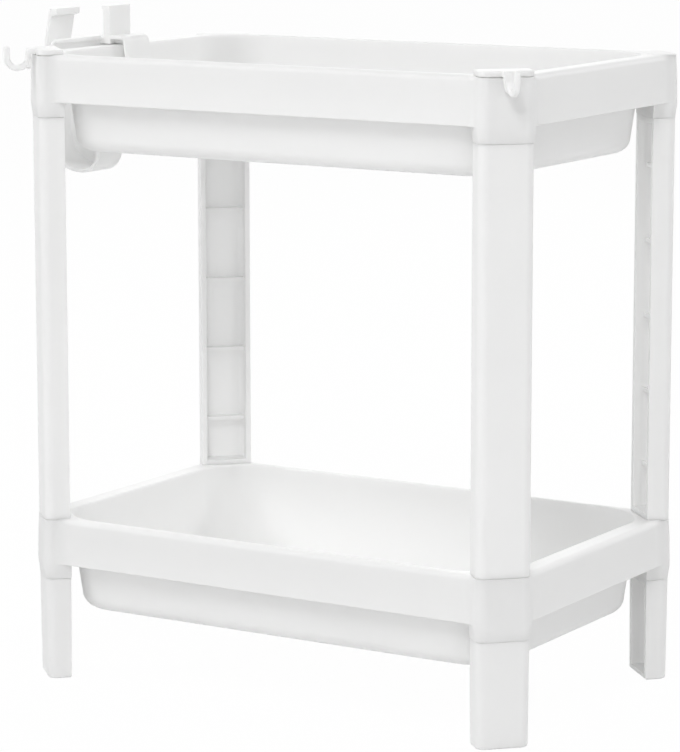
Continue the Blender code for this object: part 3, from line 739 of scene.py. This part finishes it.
def plateParts(line):
    # the plate outside the rim and the thin lip along its top
    size = holderSizes
    rounding, steps = size["plateRound"], size["roundSteps"]
    front, back, low, high = line["front"], line["back"], line["low"], line["high"]
    plate = []
    for y, z, start in ((back, high, 0), (front, high, 90), (front, low, 180), (back, low, 270)):
        centre = (y - math.copysign(rounding, y - (back + front) / 2),
                  z - math.copysign(rounding, z - (high + low) / 2))
        plate += arcPoints(centre, rounding, start, start + 90, steps)
    lip = [(back, high - size["lipThickness"]), (back, high)]
    lip += arcPoints((front + rounding, high - rounding), rounding, 90, 135, steps // 2)
    lip.append((front + rounding * (1 - halfDiagonal) + size["lipThickness"], high - size["lipThickness"]))
    return [
        holderSlab(plate, line["outer"], line["inner"], size["edge"], acrossPlate),
        holderSlab(lip, line["middle"], line["lipInner"], size["edge"] / 2, acrossPlate),
    ]


def archParts(line):
    # the arch over the rim with its flange inside the tray, the finger's foot and the rib under the arch
    size = holderSizes
    top, under, rounding = line["top"], line["under"], size["archRound"]
    lipMiddle = line["lipInner"] - size["lipReach"] / 2
    flangeOuter = trayMiddle[0] - mouthHalf[0] + size["flangeGap"]
    flangeInner = flangeOuter + size["flange"]
    lean = traySizes["draftShare"] * (size["flangeDrop"] + size["archRise"])
    flangeFoot = line["rim"] - size["flangeDrop"]
    arch = [(lipMiddle, top), (lipMiddle, under), (flangeOuter, under),
            (flangeOuter + lean, flangeFoot), (flangeInner + lean, flangeFoot)]
    arch += arcPoints((flangeInner - rounding, top - rounding), rounding, 0, 90, size["roundSteps"])
    foot = boxOutline(line["middle"], line["fingerInner"] - size["footLap"],
                      line["seat"], top - size["inset"])
    rib = boxOutline(line["middle"], flangeOuter + size["flange"] / 2,
                     line["seat"], under + size["archThickness"] / 2)
    ribLow = line["strapLow"] + size["archRibSetback"]
    return [
        holderSlab(arch, line["strapLow"] + size["inset"], line["back"], size["edge"], alongRim),
        holderSlab(foot, line["strapLow"] + size["footLap"], line["strapHigh"], size["inset"], alongRim),
        holderSlab(rib, ribLow, ribLow + size["archRib"], size["inset"], alongRim),
    ]


def fingerParts(line):
    # the finger that stands on the arch, with a small lip outwards
    size = holderSizes
    outer, inner = line["fingerOuter"], line["fingerInner"]
    top = line["rim"] + size["innerRise"]
    lip, lipFoot = outer - size["innerLip"], top - size["innerLipHeight"]
    finger = [(inner, line["seat"]), (inner, top), (lip, top), (lip, top - size["innerLipHeight"] / 2),
              (outer, lipFoot), (outer, line["seat"])]
    return [holderSlab(finger, line["strapLow"], line["strapHigh"], size["edge"], alongRim)]


def cradleParts(line):
    # the strap that hangs as a cradle, its closed back and the lip on its finger
    size = holderSizes
    rim, half = line["rim"], size["strap"] / 2
    outer, inner = line["inner"] - size["span"] + half, line["inner"] - half
    floor = rim - size["depth"] + half
    wide, tight = size["outerRound"] - half, size["innerRound"] - half
    bends = arcPoints((outer + wide, floor + wide), wide, 180, 270, size["roundSteps"])
    bends += arcPoints((inner - tight, floor + tight), tight, 270, 360, size["roundSteps"])
    wall, wallTop = outer + size["fingerLean"], rim + size["fingerRise"]
    path = [(wall, wallTop), (outer, rim)] + bends + [(inner, line["low"] + 2 * size["plateRound"])]
    strap = pathSide(path, half) + pathSide(path, -half)[::-1]
    closedTop = rim - size["backDrop"]
    closed = [(bends[0][0], closedTop)] + bends + [(bends[-1][0], closedTop)]
    lip, lipFoot = wall + half + size["fingerLip"], wallTop - size["fingerLipHeight"]
    head = [(wall, wallTop), (wall, lipFoot), (lip, lipFoot + size["fingerLip"] / 2), (lip, wallTop)]
    far = line["cradleHigh"] - size["inset"]
    return [
        holderSlab(strap, line["cradleLow"], line["cradleHigh"], size["edge"], alongRim),
        holderSlab(closed, far - size["backWall"], far, size["inset"], alongRim),
        holderSlab(head, line["cradleLow"] + size["inset"], far, size["edge"], alongRim),
    ]


def pathSide(path, distance):
    # an open path moved sideways, its bends mitred
    moved = []
    for here, point in enumerate(path):
        before = Vector(point) - Vector(path[max(here - 1, 0)])
        after = Vector(path[min(here + 1, len(path) - 1)]) - Vector(point)
        steps = [step.normalized() for step in (before, after) if step.length > 0]
        sides = [Vector((-step.y, step.x)) for step in (steps[0], steps[-1])]
        mitre = (sides[0] + sides[1]) / (1 + sides[0].dot(sides[1]))
        moved.append(tuple(Vector(point) + mitre * distance))
    return moved


def holderMesh():
    line = holderLines()
    builds = plateParts(line) + archParts(line) + fingerParts(line) + cradleParts(line)
    holder = solid("holder", builds[0])
    for build in builds[1:]:
        combine(holder, solid("holder_part", build), "UNION")
    smoothed(holder, holderSizes["smoothAngle"])
    return holder


def placeOnce(thing, places):
    # copies of one mesh as pieces, then the original goes
    for name, body, node, finish, place in places:
        putOn(thing.data, name, body, node, finish, place)
    bpy.data.objects.remove(thing, do_unlink=True)


def makeTrays():
    placeOnce(trayMesh(), [
        (node + "_moulding", "rack", node, "tray_plastic", Matrix.Translation((*trayMiddle, rim)))
        for node, rim in rimHeights.items()])


def makeUprights():
    for kind, build in (("post_", postMesh), ("foot_", footMesh)):
        placeOnce(build(), [
            (kind + corner + "_moulding", "rack", kind + corner, "post_plastic", cornerPlace(signX, signY))
            for corner, signX, signY in corners])


def makeCaps():
    for hooked, kind, body in ((True, "hook_cap_", "hook_"), (False, "corner_cap_", "cap_")):
        places = []
        for corner, signX, signY in corners:
            if (signY < 0) == hooked:  # the hooks are in front
                node, place = kind + corner, cornerPlace(signX, signY)
                places.append((node + "_moulding", body + corner, node, "cap_plastic", place))
        placeOnce(capMesh(hooked), places)


def makeHolder():
    placeOnce(holderMesh(), [("side_holder_moulding", "holder", "side_holder", "holder_plastic", None)])


studio = {  # floor, world, and where the lamps stand
    "floorSize": 30.0, "floorColour": (0.93, 0.93, 0.93), "floorGlow": 0.98,
    "worldStrength": 0.357, "diffuseBounces": 12,
    "aim": (0.0, 0.0, 0.2), "distance": 2.8, "lampSize": 0.9,
}
lamps = {  # turn and rise in degrees, power in watts
    "left_lamp": {"turn": -150, "rise": 40, "power": 23},
    "back_lamp": {"turn": 120, "rise": 30, "power": 10},
    "front_lamp": {"turn": -70, "rise": 42, "power": 18},
    "front_low_lamp": {"turn": -65, "rise": 12, "power": 7.5},
    "right_lamp": {"turn": -20, "rise": 12, "power": 5.5},
    "back_right_lamp": {"turn": 60, "rise": 30, "power": 20},
}


def seenRay(paint):
    # 1 for what the camera sees, also in gloss or through a clear piece, and 0 for light on the object
    seen = paint.node("LightPath", output="Is Camera Ray")
    for kind in ("Is Glossy Ray", "Is Transmission Ray"):
        seen = seen.mathNode("MAXIMUM", seen, paint.node("LightPath", output=kind))
    return seen


def makeFloor():
    half = studio["floorSize"] / 2
    mesh = bpy.data.meshes.new("studio_floor")
    square = [(-half, -half, 0), (half, -half, 0), (half, half, 0), (-half, half, 0)]
    mesh.from_pydata(square, [], [(0, 1, 2, 3)])
    floor = bpy.data.objects.new("studio_floor", mesh)
    bpy.context.scene.collection.objects.link(floor)
    material, paint = newMaterial("studio_floor_paint")
    rays = seenRay(paint)
    matt = paint.node("BsdfDiffuse", None, {"Color": (*studio["floorColour"], 1.0)})
    glow = paint.node("Emission", None, {"Color": (1.0, 1.0, 1.0, 1.0), "Strength": 1.0})
    both = paint.node("MixShader", None, {0: rays * studio["floorGlow"], 1: matt, 2: glow})
    paint.node("OutputMaterial", None, {"Surface": both})
    mesh.materials.append(material)


def makeLamp(name, kind):
    lamp = bpy.data.lights.new(name, "AREA")
    lamp.shape = "DISK"
    lamp.size = studio["lampSize"]
    lamp.energy = kind["power"]
    thing = bpy.data.objects.new(name, lamp)
    bpy.context.scene.collection.objects.link(thing)
    turn, rise = math.radians(kind["turn"]), math.radians(kind["rise"])
    away = Vector((math.cos(rise) * math.cos(turn), math.cos(rise) * math.sin(turn), math.sin(rise)))
    thing.location = Vector(studio["aim"]) + away * studio["distance"]
    thing.rotation_euler = away.to_track_quat("Z", "Y").to_euler()


def makeStudio():
    makeFloor()
    world = bpy.data.worlds.new("studio_world")
    world.use_nodes = True
    bpy.context.scene.world = world
    paint = Recipe(world.node_tree)
    rays = seenRay(paint)
    level = rays + (1 - rays) * studio["worldStrength"]
    sky = paint.node("Background", None, {"Color": (1.0, 1.0, 1.0, 1.0), "Strength": level})
    paint.node("OutputWorld", None, {"Surface": sky})
    for name, kind in lamps.items():
        makeLamp(name, kind)
    bpy.context.scene.view_settings.view_transform = "Standard"
    bpy.context.scene.cycles.diffuse_bounces = studio["diffuseBounces"]


photoCamera = {  # angles in degrees, lens and sensor in millimetres
    "place": (1.115810, -1.788951, 0.55831),
    "tilt": 80.173, "roll": 0.04, "turn": 31.695,
    "lens": 160.3, "sensor": 36.0,
}


def makeCamera():
    data = bpy.data.cameras.new("photo_camera")
    data.sensor_fit = "AUTO"
    data.sensor_width = photoCamera["sensor"]
    data.lens = photoCamera["lens"]
    thing = bpy.data.objects.new("photo_camera", data)
    bpy.context.scene.collection.objects.link(thing)
    thing.location = photoCamera["place"]
    thing.rotation_euler = [math.radians(photoCamera[name]) for name in ("tilt", "roll", "turn")]
    bpy.context.scene.camera = thing


makeTrays()
print("trays done")
makeUprights()
print("posts and feet done")
makeCaps()
print("caps and hooks done")
makeHolder()
print("holder done")
makeStudio()
makeCamera()
print("studio and camera done")
